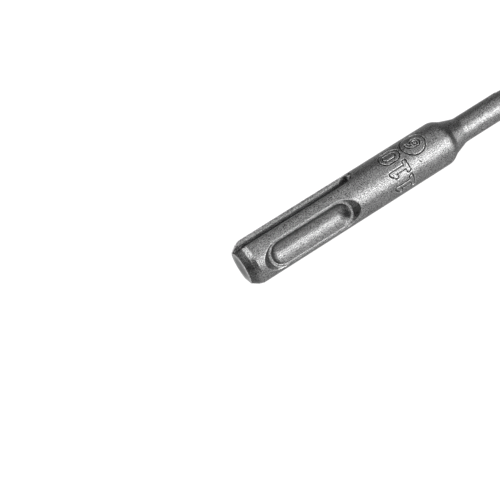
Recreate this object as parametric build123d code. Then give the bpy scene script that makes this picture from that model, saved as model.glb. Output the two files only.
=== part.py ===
from build123d import *
import math
import os

# A slotted hammer-drill bit for masonry, lying on its side along X.
# The struck end of the shank is at X 0 and the point is at the far end.
# Both pieces are shaped with the drive grooves at +Z and -Z and the ball recesses at +Y and -Y.
# Then they are turned about X, so that the bit rests on the plain strip between a groove and a recess.
# Lengths are in millimetres and angles in degrees.

# Whole bit
overall_length = 110.0

# Struck end of the shank: a flat, a steep bevel and a slower lead-in
end_flat_diameter = 7.3
end_edge_round = 0.35
end_bevel_length = 1.5
lead_in_depth = 0.33
lead_in_length = 1.0

# Shank and the shoulder where it turns in to the neck
shank_diameter = 10.0
shank_length = 50.7
shoulder_depth = 1.0
shoulder_length = 1.55
shoulder_round = 1.8
taper_length = 3.15
taper_root_round = 2.0
neck_round = 3.5
neck_diameter = 5.75
neck_end = 66.8

# Ball recesses: a flared pocket with a flat land round a deeper trough for the locking ball
land_depth = 1.14
land_width = 0.53
pocket_flare = 52.0
trough_radius = 3.4
trough_depth = 2.41
trough_first_centre = 8.4
trough_travel = 13.75
trough_lip_round = 0.15

# Drive grooves: open at the struck end, with a flared mouth
groove_width = 2.75
groove_depth = 1.8
groove_mouth_depth = 0.86
groove_flare = 48.0
groove_last_centre = 26.8
groove_floor_bevel = 0.2

# Spiral: a round core with two lands wound round it
spiral_diameter = 5.5
spiral_core_diameter = 3.1
spiral_land_width = 2.5
spiral_lead = 16.0
spiral_step = 0.3
run_out_length = 5.5

# Head: a straight block, slotted for the hard plate
head_length = 7.0
head_diameter = 5.65
head_thickness = 3.3
head_chamfer = 0.4
head_set_back = 0.7
head_cone_angle = 130.0

# Hard plate
plate_width = 6.0
plate_thickness = 1.4
plate_height = 5.6
plate_point_angle = 130.0
plate_relief_angle = 22.0

# How far the bit lies turned, which puts the middle of a plain strip lowest
resting_turn = 34.0

# Room that a cutting tool needs beyond the metal it removes
cutter_overrun = 1.0

shank_radius = shank_diameter / 2
neck_radius = neck_diameter / 2
spiral_radius = spiral_diameter / 2
core_radius = spiral_core_diameter / 2
head_radius = head_diameter / 2
head_start = overall_length - head_length


def turned_blank():
    """The bar as it is turned, from the struck end to the core of the spiral."""
    flat_radius = end_flat_diameter / 2
    bevel_radius = shank_radius - lead_in_depth
    full_start = end_bevel_length + lead_in_length
    taper_start = shank_length + shoulder_length
    spiral_start = neck_end + spiral_step
    run_out_end = neck_end + run_out_length

    struck_end = FilletPolyline(
        (0, 0),
        (0, flat_radius),
        (end_bevel_length, bevel_radius),
        radius=end_edge_round,
    )
    lead_in = Line((end_bevel_length, bevel_radius), (full_start, shank_radius))
    shank_to_neck = FilletPolyline(
        (full_start, shank_radius),
        (shank_length, shank_radius),
        (taper_start, shank_radius - shoulder_depth),
        (taper_start + taper_length, neck_radius),
        (neck_end, neck_radius),
        radius=[shoulder_round, taper_root_round, neck_round],
    )
    step_down = Line((neck_end, neck_radius), (spiral_start, spiral_radius))
    run_out = TangentArc(
        (run_out_end, core_radius),
        (spiral_start, spiral_radius),
        tangent=(-1, 0),
    )
    closing = Polyline(
        (run_out_end, core_radius),
        (head_start + head_chamfer, core_radius),
        (head_start + head_chamfer, 0),
        (0, 0),
    )
    outline = make_face(struck_end + lead_in + shank_to_neck + step_down + run_out + closing)
    return revolve(outline, axis=Axis.X)


def slot_shape(level, half_width, first, last):
    """A round-ended slot outline at a height above the axis, between two end centres."""
    place = Plane.XY.offset(level) * Pos((first + last) / 2, 0)
    return place * SlotCenterToCenter(last - first, 2 * half_width)


def flared_slot(level, half_width, first, last, flare):
    """A slot cutter whose walls lean outwards from a given level to clear of the shank."""
    rise = shank_radius + cutter_overrun - level
    wider = half_width + rise * math.tan(math.radians(flare))
    lower = slot_shape(level, half_width, first, last)
    upper = slot_shape(level + rise, wider, first, last)
    return loft([lower, upper], ruled=True)


def ball_recess_cutter():
    """What one ball recess takes out of the top of the shank."""
    land_level = shank_radius - land_depth
    trough_last_centre = trough_first_centre + trough_travel
    axis_level = shank_radius - trough_depth + trough_radius
    half_width_at_land = math.sqrt(trough_radius**2 - (axis_level - land_level) ** 2)
    pocket = flared_slot(
        land_level,
        half_width_at_land + land_width,
        trough_first_centre,
        trough_last_centre,
        pocket_flare,
    )
    half_capsule = slot_shape(axis_level, trough_radius, trough_first_centre, trough_last_centre)
    half_capsule = split(half_capsule, bisect_by=Plane.XZ, keep=Keep.TOP)
    trough = revolve(half_capsule, axis=Axis((0, 0, axis_level), (1, 0, 0)))
    cutter = pocket + trough
    land = cutter.faces().filter_by(GeomType.PLANE).filter_by(lambda face: face.inner_wires())[0]
    return fillet(land.inner_wires()[0].edges(), trough_lip_round)


def drive_groove_cutter():
    """What one drive groove takes out of the top of the shank, out through the struck end."""
    floor_level = shank_radius - groove_depth
    mouth_level = shank_radius - groove_mouth_depth
    half_width = groove_width / 2
    open_end = -half_width - cutter_overrun
    floor = slot_shape(floor_level, half_width, open_end, groove_last_centre)
    channel = extrude(floor, amount=shank_radius + cutter_overrun - floor_level, dir=(0, 0, 1))
    floor_edges = channel.edges().group_by(Axis.Z)[0]
    channel = chamfer(floor_edges, groove_floor_bevel)
    mouth = flared_slot(mouth_level, half_width, open_end, groove_last_centre, groove_flare)
    return channel + mouth


def spiral_lands():
    """The two right-hand lands: a flat bar twisted about the axis and turned to its diameter."""
    lands_start = neck_end - spiral_step
    length = head_start + head_chamfer - lands_start
    turn = 360 * length / spiral_lead
    bar = Rectangle(spiral_diameter + 2 * cutter_overrun, spiral_land_width)
    start_face = (Plane.YZ.offset(lands_start) * Rot(0, 0, -turn) * bar).face()
    twisted_bar = Solid.extrude_linear_with_rotation(
        start_face,
        (lands_start, 0, 0),
        (length, 0, 0),
        turn,
    )
    return twisted_bar & extrude(Plane.YZ.offset(lands_start) * Circle(spiral_radius), amount=length)


def head_block():
    """The straight head: two flats and two round sides, bevelled where the spiral runs into it."""
    section = Rectangle(2 * head_diameter, head_thickness) & Circle(head_radius)
    block = extrude(Plane.YZ.offset(head_start) * section, amount=head_length)
    block = chamfer(block.faces().sort_by(Axis.X)[0].edges(), head_chamfer)
    return block & end_cone(overall_length - head_set_back, head_cone_angle, shank_diameter)


def end_cone(apex, point_angle, base_radius):
    """A solid cone that points along +X, for trimming the end of the head to a point."""
    slope = math.tan(math.radians(90 - point_angle / 2))
    outline = Polyline(
        (0, 0),
        (0, base_radius),
        (apex - base_radius * slope, base_radius),
        (apex, 0),
        close=True,
    )
    return revolve(make_face(outline), axis=Axis.X)


def plate_slot():
    """The slot that is milled across the head for the hard plate."""
    length = plate_height + cutter_overrun
    slot = Box(length, plate_width + 2 * cutter_overrun, plate_thickness)
    return Pos(overall_length - plate_height + length / 2, 0, 0) * slot


def drill_body():
    """The steel body: turned, pressed with its recesses and grooves, spiralled and slotted."""
    body = turned_blank()
    for side in (90, -90):
        body -= Rot(side, 0, 0) * ball_recess_cutter()
    for side in (0, 180):
        body -= Rot(side, 0, 0) * drive_groove_cutter()
    return body + spiral_lands() + head_block() - plate_slot()


def carbide_tip():
    """The hard plate, ground to a roof point with each half relieved behind its cutting lip."""
    half_width = plate_width / 2
    half_thickness = plate_thickness / 2
    base = overall_length - plate_height
    shoulder = overall_length - half_width * math.tan(math.radians(90 - plate_point_angle / 2))
    outline = Polyline(
        (base, -half_width),
        (shoulder, -half_width),
        (overall_length, 0),
        (shoulder, half_width),
        (base, half_width),
        close=True,
    )
    plate = extrude(make_face(outline), amount=half_thickness, both=True)
    drop = plate_thickness * math.tan(math.radians(plate_relief_angle))
    wedge_outline = Polyline(
        (overall_length, half_thickness),
        (overall_length - drop, -half_thickness),
        (overall_length + cutter_overrun, -half_thickness),
        (overall_length + cutter_overrun, half_thickness),
        close=True,
    )
    wedge = extrude(Plane.XZ * make_face(wedge_outline), amount=-plate_width)
    lean = Rot(0, 0, 90 - plate_point_angle / 2)
    hinge = Pos(overall_length, 0, 0)
    relief = hinge * lean * hinge.inverse() * wedge
    plate -= relief
    plate -= Rot(180, 0, 0) * relief
    return plate


os.makedirs("parts", exist_ok=True)
for name, solid in (("drill_body", drill_body()), ("carbide_tip", carbide_tip())):
    lying = Rot(-resting_turn, 0, 0) * solid
    export_step(lying, f"parts/{name}.step")
    print(name, round(lying.volume, 3), lying.bounding_box())
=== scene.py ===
import math

import bpy
import numpy as np
from mathutils import Matrix, Vector


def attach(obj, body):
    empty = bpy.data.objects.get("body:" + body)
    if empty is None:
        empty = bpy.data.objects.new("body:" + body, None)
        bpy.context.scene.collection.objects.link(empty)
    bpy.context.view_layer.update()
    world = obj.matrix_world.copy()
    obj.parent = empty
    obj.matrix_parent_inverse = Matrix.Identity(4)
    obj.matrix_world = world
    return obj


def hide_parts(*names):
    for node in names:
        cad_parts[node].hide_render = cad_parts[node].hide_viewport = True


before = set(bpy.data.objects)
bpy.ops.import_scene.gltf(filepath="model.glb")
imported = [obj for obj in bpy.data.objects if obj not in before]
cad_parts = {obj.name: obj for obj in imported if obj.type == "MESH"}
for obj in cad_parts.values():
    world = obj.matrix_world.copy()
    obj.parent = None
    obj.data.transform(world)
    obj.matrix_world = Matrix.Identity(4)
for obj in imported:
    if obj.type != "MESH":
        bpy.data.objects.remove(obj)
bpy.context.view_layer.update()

# The steel body
# One bar of tool steel, turned to its outline, with drive grooves and ball recesses pressed into the shank,
# two lands wound round the front half and a slot milled across the head. It is bead-blasted grey all over.

# Sizes are in millimetres from the struck end, with the drive grooves at the top and bottom.
# Once the bit has its shape, it is turned to how it lies.
millimetre = 0.001
lying_turn = math.radians(-34.0)
almost_zero = 1e-9
shank_radius = 5.0
neck_end = 66.8
head_start = 103.0
head_chamfer = 0.4

# The corners of the turned outline, from the struck end on, and the round that each inner one has
end_flat_radius = 3.65
bevel_end = 1.5
bevel_radius = 4.67
lead_in_end = 2.5
shoulder_start = 50.4
taper_start = 52.1
taper_radius = 4.0
neck_start = 55.4
neck_radius = 2.875
shank_corners = [
    (0.0, 0.0),
    (0.0, end_flat_radius),
    (bevel_end, bevel_radius),
    (lead_in_end, shank_radius),
    (shoulder_start, shank_radius),
    (taper_start, taper_radius),
    (neck_start, neck_radius),
    (neck_end, neck_radius),
]
end_edge_round = 0.35
bevel_round = 0.12
lead_in_round = 0.3
shoulder_round = 3.2
taper_root_round = 2.0
neck_round = 3.5
shank_rounds = [end_edge_round, bevel_round, lead_in_round, shoulder_round, taper_root_round, neck_round]

# The points are closer together as far as the stamped numbers go
fine_spacing = 0.085
coarse_spacing = 0.15
marks_end = 46.5
fewest_arc_steps = 4


def rounded_outline(corners, rounds):
    """Closely spaced points along a line through the corners, with the inner corners rounded."""
    path = [np.array(corners[0], float)]
    for before, corner, after, radius in zip(corners, corners[1:], corners[2:], rounds):
        before, corner, after = (np.array(point, float) for point in (before, corner, after))
        back_along = (before - corner) / np.linalg.norm(before - corner)
        on_along = (after - corner) / np.linalg.norm(after - corner)
        half_corner = math.acos(back_along @ on_along) / 2
        inward = (back_along + on_along) / np.linalg.norm(back_along + on_along)
        centre = corner + inward * radius / math.sin(half_corner)
        first = corner + back_along * radius / math.tan(half_corner) - centre
        last = corner + on_along * radius / math.tan(half_corner) - centre
        start = math.atan2(first[1], first[0])
        sweep = math.remainder(math.atan2(last[1], last[0]) - start, math.tau)
        steps = max(fewest_arc_steps, math.ceil(abs(sweep) * radius / fine_spacing))
        for angle in start + sweep * np.linspace(0, 1, steps + 1):
            path.append(centre + radius * np.array([math.cos(angle), math.sin(angle)]))
    path.append(np.array(corners[-1], float))
    filled = [path[0]]
    for here, there in zip(path, path[1:]):
        stops = [here]
        if min(here[0], there[0]) < marks_end < max(here[0], there[0]):
            stops.append(here + (there - here) * (marks_end - here[0]) / (there[0] - here[0]))
        for start, end in zip(stops, stops[1:] + [there]):
            spacing = fine_spacing if start[0] < marks_end else coarse_spacing
            steps = max(1, math.ceil(np.linalg.norm(end - start) / spacing))
            filled += [start + (end - start) * share for share in np.linspace(0, 1, steps + 1)[1:]]
    return np.array(filled)


# The line starts at the edge of the struck flat, which gets its own rings when the net is closed
shank_outline = rounded_outline(shank_corners, shank_rounds)
flat_edge = np.flatnonzero(shank_outline[:, 0] < almost_zero)[-1]
shank_outline = shank_outline[flat_edge:]

# The spiral: the bar sinks from the neck to a thin core, and two lands stand on it
spiral_start = 67.1
spiral_radius = 2.75
run_out_end = 72.3
core_radius = 1.55
spiral_half_land = 1.25
spiral_lead = 16.0
land_edge_softness = 0.12
land_root_softness = 0.15
run_out_rise = spiral_radius - core_radius
run_out_length = run_out_end - spiral_start
run_out_arc = (run_out_length**2 + run_out_rise**2) / (2 * run_out_rise)

# The head: a straight block with two flats, two round sides and a blunt cone for its end
head_radius = 2.825
head_half_thickness = 1.65
head_apex = 109.3
head_cone_lean = math.radians(25)
head_cone_slope = 1 / math.tan(head_cone_lean)
head_edge_softness = 0.1
cone_edge_softness = 0.08
step_gap = 0.01
apex_gap = 0.05


def spiral_bar_radius(x):
    """Radius of the turned bar beyond the neck: the run-out of the flutes and then the core."""
    left = np.clip(run_out_end - x, 0, run_out_length)
    return core_radius + run_out_arc - np.sqrt(run_out_arc**2 - left**2)


spiral_x = np.concatenate([
    np.arange(spiral_start, head_start - 2 * step_gap, coarse_spacing),
    [head_start - step_gap],
    np.arange(head_start, head_apex - apex_gap, coarse_spacing / 2),
])
outline = np.concatenate([shank_outline, np.stack([spiral_x, spiral_bar_radius(spiral_x)], axis=1)])

# The net of points: one ring round the bar at each point of the outline
around_count = 360
angles = np.linspace(0, math.tau, around_count, endpoint=False)
x = np.repeat(outline[:, :1], around_count, axis=1)
radius = np.repeat(outline[:, 1:], around_count, axis=1)


def smooth_least(a, b, softness):
    """The smaller of two heights, with the edge between them rounded over."""
    share = np.clip(0.5 + (b - a) / (2 * softness), 0, 1)
    return b + (a - b) * share - softness * share * (1 - share)


def smooth_most(a, b, softness):
    """The larger of two heights, with the hollow between them filled to a round."""
    return -smooth_least(-a, -b, softness)


# Spiral lands: a flat bar twisted round the axis and turned to its diameter
least_sine = 0.01
twist = math.tau * (x - head_start - head_chamfer) / spiral_lead
across_bar = np.abs(np.sin(angles - twist))
land_reach = spiral_half_land / np.maximum(across_bar, least_sine)
land_radius = smooth_least(land_reach, spiral_radius, land_edge_softness)
on_spiral = (x > neck_end) & (x < head_start)
radius = np.where(on_spiral, smooth_most(radius, land_radius, land_root_softness), radius)
radius = np.where(on_spiral, np.minimum(radius, np.maximum(spiral_radius, outline[:, 1:])), radius)

# Head: two flats and two round sides, bevelled where it starts and pointed at its end
bevel = np.maximum(head_start + head_chamfer - x, 0)
flat_radius = (head_half_thickness - bevel) / np.maximum(np.abs(np.sin(angles)), least_sine)
block_radius = smooth_least(flat_radius, head_radius - bevel, head_edge_softness)
cone_radius = (head_apex - x) * head_cone_slope
radius = np.where(x >= head_start, smooth_least(block_radius, cone_radius, cone_edge_softness), radius)

# Size marks: plain numbers pressed in as outlines round the collar
# Each shape gives the distance from the middle of its line, with u round the bit and v along it.
mark_line = 0.1


def from_stroke(u, v, points):
    """Distance from a stroke drawn through the points."""
    nearest = np.inf
    for (u0, v0), (u1, v1) in zip(points, points[1:]):
        along_u, along_v = u1 - u0, v1 - v0
        squared_length = along_u**2 + along_v**2
        share = np.clip(((u - u0) * along_u + (v - v0) * along_v) / squared_length, 0, 1)
        nearest = np.minimum(nearest, np.hypot(u - u0 - share * along_u, v - v0 - share * along_v))
    return nearest


def one(u, v):
    """A figure with a flag and a foot."""
    stem = from_stroke(u, v, [(-0.85, 1.15), (0.0, 1.9), (0.0, -1.9)])
    foot = from_stroke(u, v, [(-0.9, -1.9), (0.9, -1.9)])
    return np.minimum(stem, foot)


def nought(u, v):
    """A figure with straight sides and round ends."""
    half_straight = 0.7
    end_radius = 1.2
    return np.abs(from_stroke(u, v, [(0.0, half_straight), (0.0, -half_straight)]) - end_radius)


def six(u, v):
    """A smaller figure: a round bowl and a curved tail."""
    bowl_drop = 0.6
    bowl_radius = 0.75
    bowl = np.abs(np.hypot(u, v + bowl_drop) - bowl_radius)
    tail = from_stroke(u, v, [(-0.75, -0.6), (-0.7, 0.2), (-0.4, 0.85), (0.05, 1.2), (0.5, 1.3)])
    return np.minimum(bowl, tail)


def ring(u, v):
    """The circle round the smaller figure."""
    return np.hypot(u, v)


def nick(u, v):
    """A short scratch."""
    return from_stroke(u, v, [(-0.15, -0.1), (0.2, 0.12)])


# Each mark: shape, place along the bit, angle round it, distance of its outline from its line, and depth
marks = [
    (one, 37.6, 197.0, 0.48, 0.28),
    (one, 37.6, 157.0, 0.48, 0.28),
    (nought, 37.6, 115.0, 0.46, 0.28),
    (six, 43.4, 118.0, 0.3, 0.26),
    (ring, 43.4, 118.0, 2.7, 0.28),
    (nick, 42.6, 166.5, 0.0, 0.12),
    (nick, 29.8, 161.3, 0.0, 0.08),
]
for shape, mark_x, mark_angle, outline_distance, depth in marks:
    turn = np.remainder(math.radians(mark_angle) - angles + math.pi, math.tau) - math.pi
    distance = shape(turn * shank_radius, mark_x - x)
    radius -= depth * np.exp(-(((distance - outline_distance) / mark_line) ** 2))

# Ball recess: a flared pocket with a flat land round a deeper trough
recess_first = 8.4
recess_last = 22.15
land_height = 3.86
trough_lip = 2.65
land_edge = 3.18
pocket_flare = math.radians(52)
trough_radius = 3.4
trough_axis_height = 5.99
trough_lip_softness = 0.1
pocket_root_softness = 0.04


def recess_height(offset, x):
    """Height of the recess's surface over the axis, at a distance from its centre line, whatever the x."""
    trough = trough_axis_height - np.sqrt(np.maximum(trough_radius**2 - offset**2, 0))
    wall = land_height + (offset - land_edge) / math.tan(pocket_flare)
    return smooth_most(smooth_least(trough, land_height, trough_lip_softness), wall, pocket_root_softness)


# Drive groove: steep walls and a flared mouth, wider and with a higher and sharper wall round its end
groove_first = -2.375
groove_last = 27.4
groove_half_width = 1.375
groove_floor_height = 3.2
groove_mouth_height = 4.05
groove_flare = math.radians(45)
groove_wall_steepness = 4.6
groove_lip_softness = 0.3
groove_root_softness = 0.02
groove_end_rise = 0.42
groove_end_widening = 0.22
groove_end_steepness = 11.0
groove_end_sharpening = 0.2
groove_end_lead = 0.7
groove_end_change = 0.9


def groove_height(offset, x):
    """Height of the groove's surface over the axis, at a distance from its centre line."""
    at_end = np.clip((x - groove_last + groove_end_lead) / groove_end_change, 0, 1)
    past_wall = offset - groove_half_width - groove_end_widening * at_end
    steepness = groove_wall_steepness + (groove_end_steepness - groove_wall_steepness) * at_end
    lip_softness = groove_lip_softness - groove_end_sharpening * at_end
    wall = (groove_floor_height + groove_mouth_height) / 2 + past_wall * steepness
    mouth = groove_mouth_height + groove_end_rise * at_end + past_wall / math.tan(groove_flare)
    return smooth_most(groove_floor_height, smooth_least(wall, mouth, lip_softness), groove_root_softness)


# The slots are pressed straight into the net, two from the sides and two from the top and bottom
front_side = math.pi
back_side = 0.0
upper_side = math.pi / 2
lower_side = -math.pi / 2
edge_softness = 0.06
gathered_width = 0.25
past_groove = 4.0


def press_slot(points, side, first, last, floor_height, lips):
    """Presses a round-ended slot into one side of a net of points, with the net gathered at its lips."""
    x, y, z = points
    height = y * math.cos(side) + z * math.sin(side)
    offset = z * math.cos(side) - y * math.sin(side)
    ring_radius = np.hypot(y, z)
    past_end = np.maximum(x - last, 0) - np.maximum(first - x, 0)
    away = np.hypot(past_end, offset)
    for lip in lips:
        past_lip = (away - lip) / gathered_width
        gathered = lip + gathered_width * past_lip * np.abs(past_lip)
        near = (np.abs(past_lip) < 1) & (height > 0)
        share = np.where(near, gathered / np.maximum(away, almost_zero), 1)
        x = x + past_end * (share - 1)
        past_end, offset, away = past_end * share, offset * share, away * share
    full_height = np.sqrt(np.maximum(ring_radius**2 - offset**2, 0))
    left = smooth_least(full_height, floor_height(away, x), edge_softness)
    height = np.where(height > 0, left, height)
    y = height * math.cos(side) - offset * math.sin(side)
    z = height * math.sin(side) + offset * math.cos(side)
    return x, y, z


points = [x, radius * np.cos(angles), radius * np.sin(angles)]
slotted = outline[:, 0] < groove_last + past_groove
for side, first, last, floor_height, lips in [
    (front_side, recess_first, recess_last, recess_height, (trough_lip, land_edge)),
    (back_side, recess_first, recess_last, recess_height, (trough_lip, land_edge)),
    (upper_side, groove_first, groove_last, groove_height, (groove_half_width,)),
    (lower_side, groove_first, groove_last, groove_height, (groove_half_width,)),
]:
    pressed = press_slot([part[slotted] for part in points], side, first, last, floor_height, lips)
    for part, new in zip(points, pressed):
        part[slotted] = new

# The net is closed by the struck flat at one end and the apex at the other, and turned to how the bit lies
end_ring_count = 16
flat_shares = np.linspace(0, 1, end_ring_count + 1)[1:-1, None]
x, y, z = (np.concatenate([flat_shares * part[:1], part]) for part in points)
x[: len(flat_shares)] = 0
turned_y = y * math.cos(lying_turn) - z * math.sin(lying_turn)
turned_z = y * math.sin(lying_turn) + z * math.cos(lying_turn)
net = np.stack([x, turned_y, turned_z], axis=-1)
corners = np.concatenate([net.reshape(-1, 3), [[0, 0, 0], [head_apex, 0, 0]]]) * millimetre
flat_centre = len(net) * around_count
apex = flat_centre + 1
last_ring = flat_centre - around_count
ring_starts = np.arange(0, last_ring, around_count)[:, None]
here = ring_starts + np.arange(around_count)
beside = ring_starts + (np.arange(around_count) + 1) % around_count
quads = np.stack([here, beside, beside + around_count, here + around_count], axis=-1)
faces = quads.reshape(-1, 4).tolist()
faces += [(flat_centre, (spot + 1) % around_count, spot) for spot in range(around_count)]
faces += [(apex, last_ring + spot, last_ring + (spot + 1) % around_count) for spot in range(around_count)]
body_mesh = bpy.data.meshes.new("blasted_body")
body_mesh.from_pydata(corners.tolist(), [], faces)
body_mesh.update()
body = bpy.data.objects.new("blasted_body", body_mesh)
bpy.context.scene.collection.objects.link(body)

# The slot for the hard plate is milled across the head
slot_start = 104.4
slot_thickness = 1.4
slot_width = 9.0
slot_length = 8.0
slot_middle = Vector((slot_start + slot_length / 2, 0, 0)) * millimetre
half_slot = Vector((slot_length, slot_width, slot_thickness)) * millimetre / 2
lying = Matrix.Rotation(lying_turn, 3, "X")
box_corners = [
    lying @ (slot_middle + Vector((half_slot.x * a, half_slot.y * b, half_slot.z * c)))
    for a in (-1, 1)
    for b in (-1, 1)
    for c in (-1, 1)
]
box_faces = [(0, 1, 3, 2), (4, 6, 7, 5), (0, 4, 5, 1), (2, 3, 7, 6), (0, 2, 6, 4), (1, 5, 7, 3)]
cutter_mesh = bpy.data.meshes.new("slot_cutter")
cutter_mesh.from_pydata(box_corners, [], box_faces)
cutter = bpy.data.objects.new("slot_cutter", cutter_mesh)
bpy.context.scene.collection.objects.link(cutter)
milled = body.modifiers.new("milled slot", "BOOLEAN")
milled.operation = "DIFFERENCE"
milled.solver = "MANIFOLD"
milled.object = cutter

# The net is thinned to what a piece may have, and only its true corners stay sharp
kept_share = 0.262
sharp_angle = math.radians(35)
thinned = body.modifiers.new("thinned net", "DECIMATE")
thinned.ratio = kept_share
bpy.context.view_layer.update()
finished = bpy.data.meshes.new_from_object(body.evaluated_get(bpy.context.evaluated_depsgraph_get()))
finished.name = "blasted_body"
body.modifiers.clear()
body.data = finished
bpy.data.objects.remove(cutter)
finished.shade_smooth()
finished.set_sharp_from_angle(angle=sharp_angle)


def noise(tree, place, scale, detail, roughness=0.5):
    """Cloudy noise at a place, as a value between 0 and 1."""
    node = tree.nodes.new("ShaderNodeTexNoise")
    node.inputs["Scale"].default_value = scale
    node.inputs["Detail"].default_value = detail
    node.inputs["Roughness"].default_value = roughness
    tree.links.new(place, node.inputs["Vector"])
    return node.outputs["Fac"]


def mapped(tree, value, target, source=(0.0, 1.0)):
    """A value moved from a source range to a target range, and held inside it."""
    node = tree.nodes.new("ShaderNodeMapRange")
    for name, limit in zip(("From Min", "From Max", "To Min", "To Max"), (*source, *target)):
        node.inputs[name].default_value = limit
    tree.links.new(value, node.inputs["Value"])
    return node.outputs["Result"]


def ramped(tree, value, stops):
    """A grey level that follows a value from stop to stop."""
    node = tree.nodes.new("ShaderNodeValToRGB")
    elements = node.color_ramp.elements
    for index, (where, level) in enumerate(stops):
        stop = elements[index] if index < 2 else elements.new(where)
        stop.position = where
        stop.color = (level, level, level, 1)
    tree.links.new(value, node.inputs["Fac"])
    return node.outputs["Color"]


def multiplied(tree, first, second):
    """The product of two values."""
    node = tree.nodes.new("ShaderNodeMath")
    node.operation = "MULTIPLY"
    tree.links.new(first, node.inputs[0])
    tree.links.new(second, node.inputs[1])
    return node.outputs["Value"]


def openness(tree, reach, inside):
    """How open a spot is, to the air round it or, from inside, to the metal behind it."""
    node = tree.nodes.new("ShaderNodeAmbientOcclusion")
    node.samples = 8
    node.inside = inside
    node.inputs["Distance"].default_value = reach
    return node.outputs["AO"]


def roughen(tree, shader, height, strength, depth):
    """Gives the shader's surface a relief."""
    node = tree.nodes.new("ShaderNodeBump")
    node.inputs["Strength"].default_value = strength
    node.inputs["Distance"].default_value = depth
    tree.links.new(height, node.inputs["Height"])
    tree.links.new(node.outputs["Normal"], shader.inputs["Normal"])


def struck_rings(tree, place, endwise):
    """Shade of the struck flat, dark in the middle with a light ring near its edge, and 1 elsewhere."""
    ring_reach = 4 * millimetre
    ring_levels = [(0.0, 0.6), (0.45, 0.6), (0.78, 2.0), (0.9, 2.0), (0.95, 1.0)]
    squarely_endwise = (0.96, 0.99)
    spread = tree.nodes.new("ShaderNodeVectorMath")
    spread.operation = "MULTIPLY"
    spread.inputs[1].default_value = (0, 1 / ring_reach, 1 / ring_reach)
    tree.links.new(place, spread.inputs[0])
    off_axis = tree.nodes.new("ShaderNodeVectorMath")
    off_axis.operation = "LENGTH"
    tree.links.new(spread.outputs["Vector"], off_axis.inputs[0])
    shade = tree.nodes.new("ShaderNodeMapRange")
    shade.inputs["To Min"].default_value = 1.0
    tree.links.new(ramped(tree, off_axis.outputs["Value"], ring_levels), shade.inputs["To Max"])
    on_flat = mapped(tree, endwise, (0.0, 1.0), squarely_endwise)
    tree.links.new(on_flat, shade.inputs["Value"])
    return shade.outputs["Result"]


def blasted_steel():
    """Bare steel blasted to an even grey, with a fine grain of pits, painted shade in the hollows and on
    end-facing slopes, and painted highlights along the edges.
    """
    grain_range = (0.35, 0.66)
    grain_greys = (0.0, 0.34)
    roughness_range = (0.24, 0.36)
    hollow_openness = (0.4, 0.97)
    painted_hollow_shade = (0.4, 1.0)
    edge_openness = (0.95, 0.8)
    painted_edge_highlight = (1.0, 2.4)
    material = bpy.data.materials.new("blasted_steel")
    material.use_nodes = True
    tree = material.node_tree
    shader = tree.nodes["Principled BSDF"]
    shader.inputs["Metallic"].default_value = 1.0
    shader.inputs["Specular Tint"].default_value = (0.6, 0.6, 0.6, 1)
    place = tree.nodes.new("ShaderNodeTexCoord")
    facing = tree.nodes.new("ShaderNodeSeparateXYZ")
    tree.links.new(place.outputs["Normal"], facing.inputs["Vector"])
    endwise = tree.nodes.new("ShaderNodeMath")
    endwise.operation = "ABSOLUTE"
    tree.links.new(facing.outputs["X"], endwise.inputs[0])

    # How light the steel is by how far it faces along the bit, as painted light
    # It has painted shade on the end bevel and the recesses' end walls, and a painted highlight on the rim
    # of the struck flat.
    endwise_painted_light = [
        (0.0, 1.0),
        (0.36, 1.0),
        (0.46, 0.68),
        (0.535, 0.62),
        (0.56, 0.45),
        (0.63, 0.45),
        (0.79, 1.0),
        (0.85, 2.2),
        (0.96, 2.2),
        (0.99, 1.0),
    ]
    grain = noise(tree, place.outputs["Object"], scale=6500, detail=2, roughness=0.6)
    cloud = noise(tree, place.outputs["Object"], scale=420, detail=4)
    # Painted shade: the steel's colour is darkened where the air round a spot is closed in, as in the
    # slots' corners, the marks and the hollows
    in_air = openness(tree, 2 * millimetre, inside=False)
    # Painted highlight: the steel's colour is lightened along its convex edges, where little metal lies
    # behind a spot
    in_metal = openness(tree, 0.2 * millimetre, inside=True)
    tone = mapped(tree, grain, grain_greys, grain_range)
    for layer in (
        mapped(tree, in_air, painted_hollow_shade, hollow_openness),
        ramped(tree, endwise.outputs["Value"], endwise_painted_light),
        struck_rings(tree, place.outputs["Object"], endwise.outputs["Value"]),
        mapped(tree, in_metal, painted_edge_highlight, edge_openness),
    ):
        tone = multiplied(tree, tone, layer)
    tree.links.new(tone, shader.inputs["Base Color"])
    tree.links.new(mapped(tree, cloud, roughness_range), shader.inputs["Roughness"])
    roughen(tree, shader, grain, strength=1.0, depth=0.05 * millimetre)
    return material


finished.materials.clear()
finished.materials.append(blasted_steel())
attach(body, "root")
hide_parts("drill_body")

# The hard plate
# A plate of sintered carbide, brazed into the slot of the head. Its roof point is ground on both halves.
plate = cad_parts["carbide_tip"]
plate_weld_gap = 0.002 * millimetre
plate_edge_width = 0.04 * millimetre
plate_edge_angle = math.radians(8)
welded = plate.modifiers.new("one skin", "WELD")
welded.merge_threshold = plate_weld_gap
eased = plate.modifiers.new("eased edges", "BEVEL")
eased.width = plate_edge_width
eased.segments = 2
eased.limit_method = "ANGLE"
eased.angle_limit = plate_edge_angle


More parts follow.
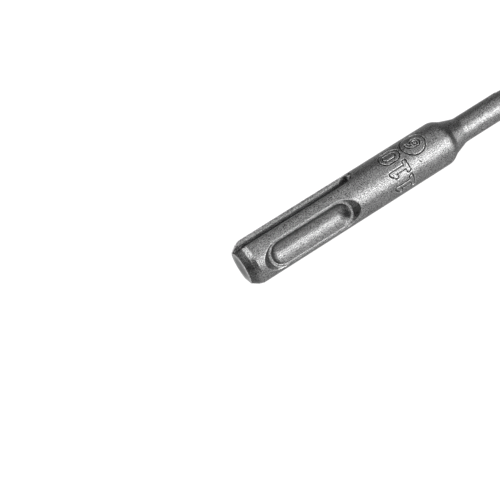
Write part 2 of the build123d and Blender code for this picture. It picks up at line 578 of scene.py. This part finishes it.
def ground_carbide():
    """Dark sintered carbide with the fine lines of the grinding wheel."""
    darker = (0.13, 0.13, 0.14, 1)
    lighter = (0.22, 0.22, 0.235, 1)
    roughness_range = (0.28, 0.42)
    line_stretch = (9000, 900, 9000)
    material = bpy.data.materials.new("ground_carbide")
    material.use_nodes = True
    tree = material.node_tree
    shader = tree.nodes["Principled BSDF"]
    shader.inputs["Metallic"].default_value = 1.0
    place = tree.nodes.new("ShaderNodeTexCoord")
    stretched = tree.nodes.new("ShaderNodeMapping")
    stretched.inputs["Scale"].default_value = line_stretch
    tree.links.new(place.outputs["Object"], stretched.inputs["Vector"])
    lines = noise(tree, stretched.outputs["Vector"], scale=1, detail=3)
    tone = tree.nodes.new("ShaderNodeMixRGB")
    tone.inputs["Color1"].default_value = darker
    tone.inputs["Color2"].default_value = lighter
    tree.links.new(lines, tone.inputs["Fac"])
    tree.links.new(tone.outputs["Color"], shader.inputs["Base Color"])
    tree.links.new(mapped(tree, lines, roughness_range), shader.inputs["Roughness"])
    roughen(tree, shader, lines, strength=0.4, depth=0.01 * millimetre)
    return material


plate.data.materials.clear()
plate.data.materials.append(ground_carbide())

# The table
# A pale, plain sheet that the bit lies on. It isn't part of the bit.
table_reach = 1.5
table_height = -shank_radius * millimetre
table_signs = [(-1, -1), (1, -1), (1, 1), (-1, 1)]
table_corners = [(table_reach * a, table_reach * b, table_height) for a, b in table_signs]
table_mesh = bpy.data.meshes.new("table")
table_mesh.from_pydata(table_corners, [], [(0, 1, 2, 3)])
table = bpy.data.objects.new("table", table_mesh)
bpy.context.scene.collection.objects.link(table)
pale = bpy.data.materials.new("pale_sheet")
pale.use_nodes = True
sheet_shader = pale.node_tree.nodes["Principled BSDF"]
sheet_shader.inputs["Base Color"].default_value = (0.08, 0.08, 0.08, 1)
sheet_shader.inputs["Roughness"].default_value = 0.8
sheet_shader.inputs["Emission Color"].default_value = (1, 1, 1, 1)
sheet_shader.inputs["Emission Strength"].default_value = 0.96
table_mesh.materials.append(pale)

# Light and camera
# A long soft light in front gives the bright line along the bit, and weak ones overhead and behind fill in.
# Two at the left light the faces that look back past the struck end.
# The camera stands where the photograph's did, looking down on the bit as it lies.
world = bpy.data.worlds.new("studio")
world.use_nodes = True
world.node_tree.nodes["Background"].inputs["Color"].default_value = (0.1, 0.1, 0.1, 1)
bpy.context.scene.world = world
bpy.context.scene.view_settings.view_transform = "Standard"
aim = Vector((0.035, 0, 0))


def soft_light(name, direction, distance, along, across, radiance):
    """A flat soft light that faces the bit, with one side laid along it."""
    lamp = bpy.data.lights.new(name, "AREA")
    lamp.shape = "RECTANGLE"
    lamp.size, lamp.size_y = along, across
    lamp.energy = radiance * math.pi * along * across
    back = Vector(direction).normalized()
    side = (Vector((1, 0, 0)) - back * back.x).normalized()
    placed = bpy.data.objects.new(name, lamp)
    turned = Matrix((side, back.cross(side), back)).transposed()
    placed.matrix_world = Matrix.Translation(aim + back * distance) @ turned.to_4x4()
    bpy.context.scene.collection.objects.link(placed)


soft_light("front key", (0.58, -0.8, 0.59), distance=0.75, along=0.86, across=0.56, radiance=6.2)
soft_light("overhead", (0.25, 0.05, 1.0), distance=0.8, along=1.1, across=0.9, radiance=1.15)
soft_light("upper left", (-0.45, 0.26, 0.86), distance=0.6, along=0.3, across=0.7, radiance=5.6)
soft_light("far left", (-1.0, 0.05, 0.08), distance=0.6, along=0.2, across=0.3, radiance=4.0)
soft_light("behind", (0.18, 0.84, 0.51), distance=0.8, along=1.0, across=0.5, radiance=0.3)

camera_data = bpy.data.cameras.new("camera")
camera_data.lens = 69.12
camera_data.sensor_width = 36
camera_data.clip_start = 0.01
camera = bpy.data.objects.new("camera", camera_data)
camera_right = Vector((0.83316, -0.53687, -0.13276)).normalized()
camera_back = Vector((-0.18049, -0.49086, 0.85234)).normalized()
camera_up = camera_back.cross(camera_right).normalized()
camera_place = Vector((-31.62, -93.69, 166.96)) * millimetre
camera_turn = Matrix((camera_right, camera_up, camera_back)).transposed()
camera.matrix_world = Matrix.Translation(camera_place) @ camera_turn.to_4x4()
bpy.context.scene.collection.objects.link(camera)
bpy.context.scene.camera = camera
